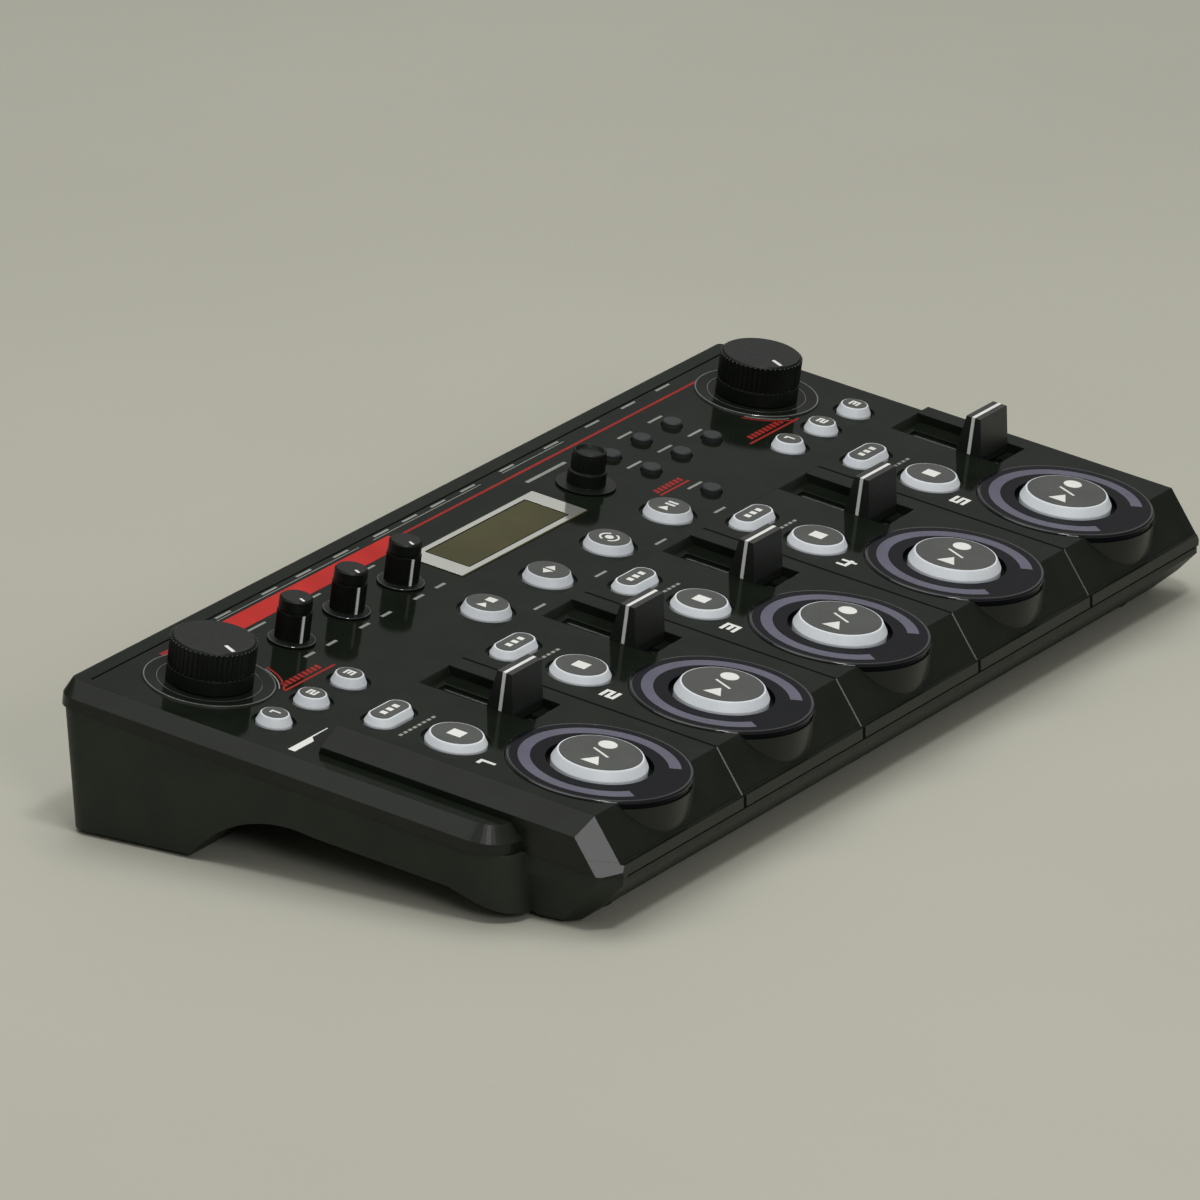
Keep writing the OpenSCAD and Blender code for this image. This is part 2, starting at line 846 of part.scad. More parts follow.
module audio_jacks() {
    color("#3a3b3d") {
        for (x = jack_spots) rear_socket(x, jack_r, jack_depth, jack_r + 1.2, 6.5, 7);
        rear_socket(mini_spot, mini_r, 14, mini_r + 1.2, 4, 4.5);
    }
}

module mic_socket() {
    pins = 3;
    color("#2c2d2f") {
        rear_socket(mic_spot, mic_r, 20, mic_r + 2, mic_r + 3, 12);
        translate([mic_spot, jack_face, socket_z]) rotate([-90, 0, 0]) for (i = [0:pins - 1])
            rotate([0, 0, 90 + 120 * i]) translate([4.5, 0, 0]) disc(1.2, -20 - eps, -17.5);
    }
}

module data_sockets() {
    color("#202123") {
        for (x = din_spots) rear_socket(x, din_r, 9, din_r + 1, din_r + 2, 9);
        translate([usb_spot, 0, socket_z]) difference() {
            translate([-6, jack_face - 16, -5.5]) cube([12, 17, 11]);
            translate([-4.3, jack_face - 12, -3.9]) cube([8.6, 20, 7.8]);
        }
    }
}

// Inlet socket and the fixed body of the power switch
module power_inlet() {
    color("#1d1e20") {
        rear_socket(inlet_spot, inlet_r, 9, inlet_r + 1.4, inlet_r + 2.4, 5.5);
        translate([switch_spot - 7, jack_wall - 9, socket_z - 5]) difference() {
            cube([14, 9, 10]);
            translate([2, 4, 1.4]) cube([10, 6, 7.2]);
        }
    }
}

module small_sockets() {
    data_sockets();
    power_inlet();
}

module rubber_feet() {
    color("#151515") for (spot = foot_spots) translate([spot[0], spot[1], 0]) rotate_extrude()
        polygon([[0, 0], [foot_r - 0.6, 0], [foot_r, 0.6], [foot_r, foot_h + 0.8], [0, foot_h + 0.8]]);
}

module case_screws() {
    color("#6d6f70") panel() for (spot = screw_spots) at(spot[0], spot[1]) difference() {
        union() {
            disc(2.6, head_w - 2, head_w);
            disc(screw_r, head_w - eps, parting + 4.5);
        }
        disc(0.9, head_w - 3, head_w - 1);
    }
}

// Turned button: conical side, eased top edge, flange under its plate and a stem above its switch
module round_button(r, rise, bevel, plate_under, stem_end) {
    ease = 0.2;
    top = plate_under - gap;
    rotate_extrude() polygon([
        [0, rise], [r - bevel - ease, rise], [r - bevel, rise - ease], [r, 0], [r, top],
        [r + flange, top], [r + flange, top - flange_t], [2, top - flange_t], [2, stem_end], [0, stem_end]
    ]);
}

module rec_button(i) {
    stem = front_board + 3.5 + pad_travel + gap;
    color("#eceef0") panel() at(track_u(i) + pad_du, 0, ring_rise)
        round_button(pad_r, pad_h, pad_bevel, ring_under - ring_rise, stem - ring_rise);
}

module stop_button(i) {
    stem = front_board + 3.5 + key_travel + gap;
    color("#eceef0") panel() at(track_u(i) + stop_du, stop_v)
        round_button(stop_r, cap_h, cap_bevel, block_under, stem);
}

module edit_button(i) {
    top = block_under - gap;
    low = 0;
    stem = front_board + 3.5 + key_travel + gap;
    color("#eceef0") panel() at(track_u(i) + stop_du, edit_v) {
        stadium(edit_r, edit_len, top - flange_t, low);
        for (side = [-1, 1]) at(side * edit_len / 2, 0, low - eps)
            cylinder(r1 = edit_r, r2 = edit_r - cap_bevel, h = cap_h - low + eps);
        along_x(edit_len) polygon([
            [-edit_r, low - eps], [-edit_r + cap_bevel, cap_h],
            [edit_r - cap_bevel, cap_h], [edit_r, low - eps]
        ]);
        stadium(edit_r - 1.1, edit_len + 5.4, top - flange_t, top);
        disc(2, stem, top - flange_t + eps);
    }
}

module fader_knob(i) {
    foot = well_floor + gap;
    pot_top = well_floor - well_plate;
    line_u = track_u(i) + fader_du;
    color("#1f2121") panel() at(line_u, fader_v) {
        along_x(cap_w) polygon([
            [-cap_foot / 2, foot], [cap_foot / 2, foot], [cap_foot / 2, 0],
            [cap_top / 2, cap_rise], [-cap_top / 2, cap_rise], [-cap_foot / 2, 0]
        ]);
        block_box(-lever_w / 2, lever_w / 2, -lever_l / 2, lever_l / 2, pot_top + gap, foot + eps);
        block_box(-1, 1, -lever_l / 2, lever_l / 2, pot_top - 5, pot_top + gap + eps);
    }
}

module mid_button(i) {
    stem = rear_board + 3.5 + key_travel + gap;
    color("#eceef0") panel() at(mid_u(i), mid_row, deck)
        round_button(mid_r, deck_cap_h, cap_bevel, -wall, stem - deck);
}

module fx_button(side, i) {
    stem = rear_board + 3.5 + key_travel + gap;
    color("#eceef0") panel() at(fx_place(side, i), fx_row, deck)
        round_button(fx_r, deck_cap_h, cap_bevel, -wall, stem - deck);
}

module menu_button(i) {
    top = deck_under - gap;
    stem = rear_board + 3.5 + key_travel + gap;
    spot = menu_spots[i];
    color("#565b60") panel() at(spot[0], spot[1]) rotate_extrude() polygon([
        [0, deck + menu_h], [menu_r - 0.4, deck + menu_h], [menu_r, deck + menu_h - 0.4], [menu_r, top],
        [menu_r + 1, top], [menu_r + 1, top - 1], [1.5, top - 1], [1.5, stem], [0, stem]
    ]);
}

// Fluted column: a ring of shallow ridges
module fluted(r, depth, count, low, high) {
    translate([0, 0, low]) linear_extrude(high - low) polygon([
        for (k = [0:2 * count - 1])
            let (rr = r - (k % 2) * depth, a = 180 * k / count) [rr * cos(a), rr * sin(a)]
    ]);
}

module shaft(low, high) {
    disc(shaft_r, low, high);
}

module level_knob(i) {
    color("#191b1b") panel() at(level_place(i), level_row, deck) {
        rotate_extrude() polygon([
            [0, level_h], [level_r - 0.6, level_h], [level_r, level_h - 0.6], [level_r, level_h - 4],
            [level_r - 0.4, level_h - 4.2], [level_r - 0.4, 1.4],
            [level_r + 2.4, 0.8], [level_r + 2.5, 0.4], [0, 0.4]
        ]);
        fluted(level_r + 0.3, 0.3, 40, 1.2, level_h - 4.8);
        shaft(rear_board - deck + 2, 0.4 + eps);
    }
}

module value_knob() {
    band = value_h / 2 - 0.4;
    color("#191b1b") panel() at(value_at, value_row, deck) {
        rotate_extrude() polygon([
            [0, value_h - 1], [value_r - 1.6, value_h - 1], [value_r - 0.8, value_h], [value_r - 0.4, value_h],
            [value_r, value_h - 0.4], [value_r, band], [value_r + 0.9, band - 0.4], [value_r + 1, 1],
            [value_flange, 0.8], [value_flange, 0.4], [0, 0.4]
        ]);
        fluted(value_r + 0.2, 0.4, 30, band, value_h - 1.4);
        shaft(rear_board - deck + 2, 0.4 + eps);
    }
}

module dial_knob(side) {
    low = dish_rim / 2 + gap;
    core = dial_r - dial_flute;
    color("#191b1b") panel() at(side * dial_at, knob_row, deck) {
        rotate_extrude() polygon([
            [0, dial_h], [core - 0.5, dial_h], [core, dial_h - 0.5], [core, dial_band],
            [dial_r, dial_band - 0.2], [dial_r, low], [0, low]
        ]);
        fluted(dial_r, dial_flute, dial_flutes, dial_band + 0.2, dial_h - 0.6);
        shaft(rear_board - deck + 2, low + eps);
    }
}

module power_switch() {
    color("#111213") translate([switch_spot, jack_face, socket_z]) {
        translate([-4.6, -wall - 1, -2]) cube([5.6, wall + 2.6, 4]);
        translate([-4.6, -wall - gap - 2, -3.2]) cube([5.6, 2, 6.4]);
    }
}

top_case();
track_block();
bottom_case();
base_plate();
rear_panel();
ring_lenses();
ring_diffusers();
display_window();
lcd_module();
circuit_boards();
pots();
audio_jacks();
mic_socket();
small_sockets();
rubber_feet();
case_screws();
rec_button(0);  // rec_button_1
rec_button(1);  // rec_button_2
rec_button(2);  // rec_button_3
rec_button(3);  // rec_button_4
rec_button(4);  // rec_button_5
stop_button(0);  // stop_button_1
stop_button(1);  // stop_button_2
stop_button(2);  // stop_button_3
stop_button(3);  // stop_button_4
stop_button(4);  // stop_button_5
edit_button(0);  // edit_button_1
edit_button(1);  // edit_button_2
edit_button(2);  // edit_button_3
edit_button(3);  // edit_button_4
edit_button(4);  // edit_button_5
fader_knob(0);  // fader_knob_1
fader_knob(1);  // fader_knob_2
fader_knob(2);  // fader_knob_3
fader_knob(3);  // fader_knob_4
fader_knob(4);  // fader_knob_5
mid_button(0);  // all_start_button
mid_button(1);  // undo_button
mid_button(2);  // tap_button
mid_button(3);  // rhythm_button
fx_button(-1, 0);  // input_fx_button_1
fx_button(-1, 1);  // input_fx_button_2
fx_button(-1, 2);  // input_fx_button_3
fx_button(1, 0);  // track_fx_button_1
fx_button(1, 1);  // track_fx_button_2
fx_button(1, 2);  // track_fx_button_3
menu_button(0);  // menu_button_1
menu_button(1);  // menu_button_2
menu_button(2);  // menu_button_3
menu_button(3);  // menu_button_4
menu_button(4);  // menu_button_5
menu_button(5);  // menu_button_6
menu_button(6);  // menu_button_7
value_knob();
level_knob(0);  // level_knob_1
level_knob(1);  // level_knob_2
level_knob(2);  // level_knob_3
dial_knob(-1);  // input_fx_knob
dial_knob(1);  // track_fx_knob
power_switch();
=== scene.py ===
"""Looks of a five-track loop station.

Finishes on the CAD solids, key tops, printed marks, thin trims, floor, light and camera.
"""
import math

import bmesh
import bpy
from mathutils import Matrix, Vector


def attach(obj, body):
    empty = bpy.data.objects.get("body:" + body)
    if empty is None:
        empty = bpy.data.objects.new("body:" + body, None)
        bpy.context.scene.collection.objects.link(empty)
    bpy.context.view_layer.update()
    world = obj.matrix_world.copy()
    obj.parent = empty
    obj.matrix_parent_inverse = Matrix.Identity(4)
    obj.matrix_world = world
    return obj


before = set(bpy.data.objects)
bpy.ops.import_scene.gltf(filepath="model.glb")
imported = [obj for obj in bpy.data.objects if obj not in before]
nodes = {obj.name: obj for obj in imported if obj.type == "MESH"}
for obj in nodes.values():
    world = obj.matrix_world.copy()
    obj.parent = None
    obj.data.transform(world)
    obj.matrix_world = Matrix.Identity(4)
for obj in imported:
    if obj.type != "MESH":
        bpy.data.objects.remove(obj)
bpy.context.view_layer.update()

# Sizes in millimetres, as in the part's source.
# Panel coordinates: u to the right, v up the slope, w out of the track block's face.
TILT = math.radians(7.2)
PANEL_NORMAL = (0.0, -math.sin(TILT), math.cos(TILT))
CASE_FRONT = -100.0
FRONT_REACH = 33.1
PART_DROP = 17.0
PAD_Y = CASE_FRONT + FRONT_REACH * math.cos(TILT) - PART_DROP * math.sin(TILT)
PAD_Z = 40.0
DECK = -8.5

# Track block: places in u count from each track's middle, faces from the block's own
TRACK_PITCH = 76.5
TRACKS = [(i - 2) * TRACK_PITCH for i in range(5)]
GROOVES = [(i - 1.5) * TRACK_PITCH for i in range(4)]
PAD_U = -1.2
KEY_U = -19.6
FADER_U = 20.2
STOP_V = 42.2
EDIT_V = 67.4
FADER_V = 44.6
NUMERAL_U = -27.8
NUMERAL_V = 26.0
RULE_U = -30.0
RING_RISE = 0.6
PAD_FACE = RING_RISE + 3.1
KEY_FACE = 2.4

# Deck: keys, knobs and, along the rear edge, the sockets' marks
DECK_KEY_FACE = DECK + 2.9
TRANSPORT_PITCH = 38.9
TRANSPORT = [(i - 1.5) * TRANSPORT_PITCH for i in range(4)]
TRANSPORT_KEYS = ["all_start_button", "undo_button", "tap_button", "rhythm_button"]
TRANSPORT_V = 99.9
FX_KEYS_U = 163.5
FX_KEY_PITCH = 22.4
FX_KEYS_V = 101.2
MENU_KEYS = [(u, v) for u in (86.6, 106.8, 127.0) for v in (139.2, 123.3)] + [(86.6, 99.4)]
DIAL_U = 174.2
DIAL_V = 133.3
DIAL_FACE = DECK + 15.3
LEVELS = [-126.7, -93.2, -59.7]
LEVEL_V = 132.2
LEVEL_FACE = DECK + 15.6
KNOB_BEARING = math.radians(243.0)
SOCKETS = [-126, -98, -77, -54, -29, -11, 7, 26, 51, 80, 107, 131, 154]


# Finishes

def linear(code):
    """sRGB hex to the linear colour that the shader takes."""
    channels = [int(code[i:i + 2], 16) / 255 for i in (1, 3, 5)]
    return [c / 12.92 if c <= 0.04045 else ((c + 0.055) / 1.055) ** 2.4 for c in channels] + [1.0]


def add(tree, kind, sockets=None, **settings):
    """Adds a node; a socket's value is a plain value, or a (node, output) pair to link."""
    made = tree.nodes.new(kind)
    for key, value in settings.items():
        setattr(made, key, value)
    for key, value in (sockets or {}).items():
        if isinstance(value, tuple) and isinstance(value[0], bpy.types.Node):
            tree.links.new(value[0].outputs[value[1]], made.inputs[key])
        else:
            made.inputs[key].default_value = value
    return made


def per_mm(size):
    """Texture scale whose features are about this many millimetres across."""
    return 1000.0 / size


def finish(name, colour, shade, roughness, spread, grain, depth, soft_edge,
           patch=14.0, polish=None, **shader):
    """A moulded or coated finish.

    The colour drifts to a second shade in patches, the grain spreads the roughness and gives a fine bump,
    and edges are softened; grain, depth, soft_edge and patch are millimetres. Moulded and printed grains are
    drawn coarser than the real ones, which are too fine to show. With polish, faces square to the panel take
    that roughness, and only the others keep the coat.
    """
    made = bpy.data.materials.new(name)
    made.use_nodes = True
    tree = made.node_tree
    tree.nodes.clear()
    place = add(tree, "ShaderNodeTexCoord")
    cloud = add(tree, "ShaderNodeTexNoise", {
        "Vector": (place, "Object"), "Scale": per_mm(patch), "Detail": 4.0})
    speck = add(tree, "ShaderNodeTexNoise", {
        "Vector": (place, "Object"), "Scale": per_mm(grain), "Detail": 2.0})
    tint = add(tree, "ShaderNodeValToRGB", {"Fac": (cloud, "Fac")})
    tint.color_ramp.elements[0].position = 0.35
    tint.color_ramp.elements[1].position = 0.65
    tint.color_ramp.elements[0].color = linear(colour)
    tint.color_ramp.elements[1].color = linear(shade)
    rough = add(tree, "ShaderNodeMapRange", {
        "Value": (speck, "Fac"), "From Min": 0.3, "From Max": 0.7,
        "To Min": roughness - spread, "To Max": roughness + spread})
    if polish:
        surface = add(tree, "ShaderNodeNewGeometry")
        square = add(tree, "ShaderNodeVectorMath", {
            0: (surface, "Normal"), 1: PANEL_NORMAL}, operation="DOT_PRODUCT")
        squareness = {"Value": (square, "Value"), "From Min": 0.985, "From Max": 0.998}
        rough = add(tree, "ShaderNodeMapRange", {
            **squareness, "To Min": (rough, "Result"), "To Max": polish})
        coat = add(tree, "ShaderNodeMapRange", {
            **squareness, "To Min": shader["Coat Weight"], "To Max": 0.0})
        shader["Coat Weight"] = (coat, "Result")
    edge = add(tree, "ShaderNodeBevel", {"Radius": soft_edge / 1000}, samples=6)
    bump = add(tree, "ShaderNodeBump", {
        "Height": (speck, "Fac"), "Strength": 0.35, "Distance": depth / 1000, "Normal": (edge, "Normal")})
    body = add(tree, "ShaderNodeBsdfPrincipled", {
        "Base Color": (tint, "Color"), "Roughness": (rough, "Result"), "Normal": (bump, "Normal"), **shader})
    add(tree, "ShaderNodeOutputMaterial", {"Surface": (body, "BSDF")})
    return made


# Black ABS: satin sides, but flat tops polished in the tool, in which the knobs stand faintly mirrored.
# The tops' IOR is set below the plastic's own, to match how weakly they reflect in the photograph.
CASE = finish(
    "moulded_abs_black", "#131711", "#181c16",
    roughness=0.3, spread=0.02, grain=0.9, depth=0.003, soft_edge=0.6, polish=0.09, IOR=1.12,
    **{"Coat Weight": 0.5, "Coat Roughness": 0.28, "Coat IOR": 1.5})
# The same ABS below the parting line, with the coarser grain of the tool's sides.
BASE = finish(
    "moulded_abs_base", "#1d221b", "#22271f",
    roughness=0.5, spread=0.05, grain=1.1, depth=0.03, soft_edge=0.45, IOR=1.5,
    **{"Specular IOR Level": 0.3})
# Smoked acrylic: polished, a cold violet black; its IOR is lowered as on the case's tops.
SMOKE = finish(
    "smoked_acrylic", "#06070d", "#090a11",
    roughness=0.08, spread=0.02, grain=6.0, depth=0.002, soft_edge=0.1, IOR=1.12)
# The discs' rounded edges, at the acrylic's own IOR: lamps show in them as short streaks.
SMOKE_EDGE = finish(
    "smoked_acrylic_edge", "#06070d", "#090a11",
    roughness=0.06, spread=0.02, grain=6.0, depth=0.002, soft_edge=0.05, IOR=1.49)
# Frosted polycarbonate light guide, unlit: a flat grey with the smoke's violet.
FROST = finish(
    "frosted_light_guide", "#4c4b5d", "#545365",
    roughness=0.45, spread=0.05, grain=1.2, depth=0.01, soft_edge=0.1, IOR=1.58)
# Milky polycarbonate key: light soaks in a little, so its shaded side stays pale.
MILK = finish(
    "milky_key_plastic", "#dde2e8", "#e3e8ec",
    roughness=0.5, spread=0.04, grain=1.0, depth=0.01, soft_edge=0.2, IOR=1.5,
    **{"Subsurface Weight": 0.35, "Subsurface Radius": (0.002, 0.002, 0.002), "Subsurface Scale": 1.0})
# Grey lacquer printed on the key tops, slightly eggshell.
KEY_TOP = finish(
    "key_top_lacquer", "#3d3f3c", "#444642",
    roughness=0.45, spread=0.05, grain=0.8, depth=0.02, soft_edge=0.1, IOR=1.5)
# Knob ABS, darker than the case and a little smoother.
KNOB = finish(
    "knob_abs_black", "#0d110e", "#121612",
    roughness=0.42, spread=0.05, grain=0.9, depth=0.01, soft_edge=0.2, IOR=1.5,
    **{"Specular IOR Level": 0.22})
# Fader cap ABS, moulded with a fine skin: black, with a soft sheen on its rounded edges.
FADER = finish(
    "fader_cap_abs", "#171a18", "#1c1f1d",
    roughness=0.4, spread=0.05, grain=0.9, depth=0.02, soft_edge=0.35, IOR=1.5)
# Silicone rubber, moulded: the small keys' dull slate grey.
SLATE = finish(
    "slate_silicone", "#262b2b", "#2d3232",
    roughness=0.6, spread=0.05, grain=0.7, depth=0.03, soft_edge=0.3, IOR=1.43)
# Unlit reflective liquid crystal behind clear acrylic: olive, with the window's polish and a lowered IOR.
CRYSTAL = finish(
    "liquid_crystal_olive", "#413f27", "#49472c",
    roughness=0.1, spread=0.03, grain=9.0, depth=0.002, soft_edge=0.1, patch=30.0, IOR=1.12)
# Silver ink printed behind the polished window: half mirror, half pale grey.
PALE = finish(
    "silver_window_print", "#cfd0c8", "#d4d5cd",
    roughness=0.1, spread=0.03, grain=0.9, depth=0.002, soft_edge=0.1, IOR=1.49, Metallic=0.75)
# White screen-printed ink: thin and matt, an even off-white.
INK = finish(
    "white_screen_ink", "#d9dad4", "#e3e4df",
    roughness=0.55, spread=0.05, grain=0.6, depth=0.01, soft_edge=0.05, IOR=1.5)
# The same ink pulled thin, for small marks: it dries grey.
THIN_INK = finish(
    "thin_grey_ink", "#7f837d", "#8d918b",
    roughness=0.55, spread=0.05, grain=0.6, depth=0.01, soft_edge=0.05, IOR=1.5)
# Red screen-printed ink: a full, even red with little shine.
RED = finish(
    "red_screen_ink", "#b01c15", "#b8221b",
    roughness=0.55, spread=0.05, grain=0.6, depth=0.01, soft_edge=0.05, IOR=1.5,
    **{"Specular IOR Level": 0.2})
# The same red pulled thin, for rules and ticks: the black shows through.
THIN_RED = finish(
    "thin_red_ink", "#8a1a15", "#951f19",
    roughness=0.55, spread=0.05, grain=0.6, depth=0.01, soft_edge=0.05, IOR=1.5,
    **{"Specular IOR Level": 0.2})
# Polished rims round the knobs: thin lines that catch the room; their grey, lighter than the black they
# stand on, is a painted sheen.
RIM_SHEEN = finish(
    "polished_rim_painted_sheen", "#34383a", "#3b3f41",
    roughness=0.1, spread=0.03, grain=3.0, depth=0.003, soft_edge=0.05, IOR=1.6)
# The dishes' turned edges: a pale grey painted as their highlight, so they show as pale lines.
DISH_EDGE_HIGHLIGHT = finish(
    "dish_edge_painted_highlight", "#565a58", "#5d615f",
    roughness=0.12, spread=0.03, grain=3.0, depth=0.003, soft_edge=0.05, IOR=1.6)
# Tips of the dials' ridges: a pale grey painted as glints.
TIP_GLINT = finish(
    "painted_glint_ridge_tip", "#787c78", "#818581",
    roughness=0.3, spread=0.03, grain=0.8, depth=0.003, soft_edge=0.05, IOR=1.5)
# Matt black: painted shade at the bottom of the grooves, in the front seam and in the lip's notches, where
# no light reaches; also the crystal's dark border.
DARK_BORDER_AND_SHADE = finish(
    "matt_black_border_and_painted_shade", "#040404", "#070707",
    roughness=0.8, spread=0.05, grain=0.8, depth=0.02, soft_edge=0.05, IOR=1.4,
    **{"Specular IOR Level": 0.1})
# Nickel plate on jacks and nuts: a soft, slightly warm mirror.
NICKEL = finish(
    "nickel_plate", "#b9b7b0", "#c4c2bb",
    roughness=0.24, spread=0.05, grain=1.5, depth=0.01, soft_edge=0.2, Metallic=1.0)
# Zinc plate on screws and stamped steel housings: a dull grey metal.
ZINC = finish(
    "zinc_plate", "#8f9192", "#9b9d9e",
    roughness=0.38, spread=0.06, grain=1.0, depth=0.02, soft_edge=0.2, Metallic=1.0)
# Glass-filled nylon of the sockets, moulded: black with a faint grain.
NYLON = finish(
    "socket_nylon", "#0f1011", "#151617",
    roughness=0.5, spread=0.06, grain=0.8, depth=0.03, soft_edge=0.2, IOR=1.53)
# Moulded rubber of the feet: dull black.
RUBBER = finish(
    "foot_rubber", "#101010", "#161616",
    roughness=0.75, spread=0.05, grain=0.6, depth=0.05, soft_edge=0.3, IOR=1.52)
# Solder resist over copper: a shiny dark green.
RESIST = finish(
    "green_solder_resist", "#123f22", "#174a29",
    roughness=0.3, spread=0.04, grain=2.0, depth=0.02, soft_edge=0.1, IOR=1.55)
# Seamless paper under the object: warm grey, dull.
PAPER = finish(
    "paper_floor", "#b1b0a4", "#b4b3a7",
    roughness=0.85, spread=0.03, grain=2.0, depth=0.02, soft_edge=0.05, patch=300.0, IOR=1.3)

SKINS = {
    "top_case": CASE, "track_block": CASE, "bottom_case": BASE, "base_plate": BASE, "rear_panel": BASE,
    "ring_lenses": SMOKE, "ring_diffusers": FROST, "display_window": CRYSTAL, "lcd_module": NYLON,
    "circuit_boards": RESIST, "pots": ZINC, "audio_jacks": NICKEL, "mic_socket": NYLON,
    "small_sockets": NYLON, "power_switch": NYLON, "rubber_feet": RUBBER, "case_screws": ZINC,
}


def skin_of(name):
    """Finish of a CAD node, by the node's name."""
    if name in SKINS:
        return SKINS[name]
    if name.startswith("fader_knob"):
        return FADER
    if name.startswith("menu_button"):
        return SLATE
    if "knob" in name:
        return KNOB
    return MILK


for name, piece in nodes.items():
    piece.data.materials.clear()
    piece.data.materials.append(skin_of(name))


# Shapes on the panel

def on_panel(u, v, w):
    """Panel millimetres to the part's frame in metres."""
    y = PAD_Y + v * math.cos(TILT) - w * math.sin(TILT)
    z = PAD_Z + v * math.sin(TILT) + w * math.cos(TILT)
    return Vector((u, y, z)) / 1000


def keep(name, mesh, skin, body):
    """Makes the mesh an object of one finish that moves with a body."""
    bmesh.ops.recalc_face_normals(mesh, faces=mesh.faces)
    data = bpy.data.meshes.new(name)
    mesh.to_mesh(data)
    mesh.free()
    data.materials.append(skin)
    made = bpy.data.objects.new(name, data)
    bpy.context.scene.collection.objects.link(made)
    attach(made, body)
    return made


def prism(mesh, low, high):
    """Adds the closed solid between two loops of points, equal in number."""
    low = [mesh.verts.new(point) for point in low]
    high = [mesh.verts.new(point) for point in high]
    mesh.faces.new(low[::-1])
    mesh.faces.new(high)
    for k in range(len(low)):
        j = (k + 1) % len(low)
        mesh.faces.new((low[k], low[j], high[j], high[k]))


def print_marks(name, outlines, face, skin, body="chassis", film=0.06, sunk=0.03):
    """Flat marks, each a thin prism sunk a little in a face of the panel and standing a film above it."""
    mesh = bmesh.new()
    for outline in outlines:
        prism(mesh, [on_panel(u, v, face - sunk) for u, v in outline],
              [on_panel(u, v, face + film) for u, v in outline])
    return keep(name, mesh, skin, body)


def around(u, v, radius, bearings):
    """Points at a radius from a place, one for each bearing in radians."""
    return [(u + radius * math.cos(a), v + radius * math.sin(a)) for a in bearings]


def turned(name, u, v, base, profile, skin, body, steps=96):
    """A ring or cap turned about the panel's normal.

    The profile is a list of (radius, height) that runs from axis to axis, or closes on itself.
    """
    mesh = bmesh.new()
    turn = [2 * math.pi * k / steps for k in range(steps)]
    rings = []
    for radius, height in profile:
        points = around(u, v, radius, turn if radius > 0 else turn[:1])
        rings.append([mesh.verts.new(on_panel(x, y, base + height)) for x, y in points])
    pairs = list(zip(rings, rings[1:]))
    if profile[0][0] > 0 and profile[-1][0] > 0:
        pairs.append((rings[-1], rings[0]))
    for inner, outer in pairs:
        for k in range(steps):
            j = (k + 1) % steps
            corners = [inner[k % len(inner)], outer[k % len(outer)],
                       outer[j % len(outer)], inner[j % len(inner)]]
            mesh.faces.new(list(dict.fromkeys(corners)))
    made = keep(name, mesh, skin, body)
    made.data.shade_smooth()
    made.data.set_sharp_from_angle(angle=math.radians(35))
    return made


def strip(u0, v0, u1, v1, width):
    """Outline of a straight stroke."""
    along = Vector((u1 - u0, v1 - v0)).normalized()
    side = Vector((-along.y, along.x)) * width / 2
    a, b = Vector((u0, v0)), Vector((u1, v1))
    return [tuple(a - side), tuple(b - side), tuple(b + side), tuple(a + side)]


def plate(u0, v0, u1, v1):
    """Outline of a rectangle between two corners."""
    return [(u0, v0), (u1, v0), (u1, v1), (u0, v1)]


def bar(u, v, wide, tall):
    """Outline of a rectangle about its middle."""
    return plate(u - wide / 2, v - tall / 2, u + wide / 2, v + tall / 2)


def clipped_plate(half_wide, v0, v1, cut):
    """Outline of a rectangle about u = 0 with its corners cut off."""
    flat = half_wide - cut
    return [(-flat, v0), (flat, v0), (half_wide, v0 + cut), (half_wide, v1 - cut),
            (flat, v1), (-flat, v1), (-half_wide, v1 - cut), (-half_wide, v0 + cut)]


def dot(u, v, radius, steps=40):
    """Outline of a disc."""
    return around(u, v, radius, [2 * math.pi * k / steps for k in range(steps)])


def arc(u, v, inner, outer, start, end, steps=28):
    """Outline of a ring's part between two bearings in degrees."""
    turn = [math.radians(start + (end - start) * k / steps) for k in range(steps + 1)]
    return around(u, v, outer, turn) + around(u, v, inner, turn[::-1])


def oblong(u, v, radius, length, steps=20):
    """Outline of a slot along u."""
    half_turn = [math.pi * (k / steps - 0.5) for k in range(steps + 1)]
    right = around(u + length / 2, v, radius, half_turn)
    left = around(u - length / 2, v, radius, [a + math.pi for a in half_turn])
    return right + left


def triangle(u, v, wide, tall):
    """Outline of a play sign about its middle; a negative width points it to the left."""
    return [(u - wide / 2, v - tall / 2), (u + wide / 2, v), (u - wide / 2, v + tall / 2)]


# Plain squared numerals in a box 6 wide and 5.6 tall
NUMERAL_TALL = 5.6
NUMERALS = {
    1: [(0.4, -2.8), (1.8, -2.8), (1.8, 2.8), (-1.8, 2.8), (-1.8, 1.5), (0.4, 1.5)],
    2: [(-3, 2.8), (3, 2.8), (3, -0.65), (-1.7, -0.65), (-1.7, -1.5), (3, -1.5), (3, -2.8), (-3, -2.8),
        (-3, 0.65), (1.7, 0.65), (1.7, 1.5), (-3, 1.5)],
    3: [(-3, 2.8), (3, 2.8), (3, -2.8), (-3, -2.8), (-3, -1.5), (1.7, -1.5), (1.7, -0.65), (-2.2, -0.65),
        (-2.2, 0.65), (1.7, 0.65), (1.7, 1.5), (-3, 1.5)],
    4: [(-3, 2.8), (-1.7, 2.8), (-1.7, 0.1), (0.9, 0.1), (0.9, 2.8), (2.2, 2.8), (2.2, 0.1), (3, 0.1),
        (3, -1.2), (2.2, -1.2), (2.2, -2.8), (0.9, -2.8), (0.9, -1.2), (-3, -1.2)],
    5: [(3, 2.8), (-3, 2.8), (-3, -0.65), (1.7, -0.65), (1.7, -1.5), (-3, -1.5), (-3, -2.8), (3, -2.8),
        (3, 0.65), (-1.7, 0.65), (-1.7, 1.5), (3, 1.5)],
}


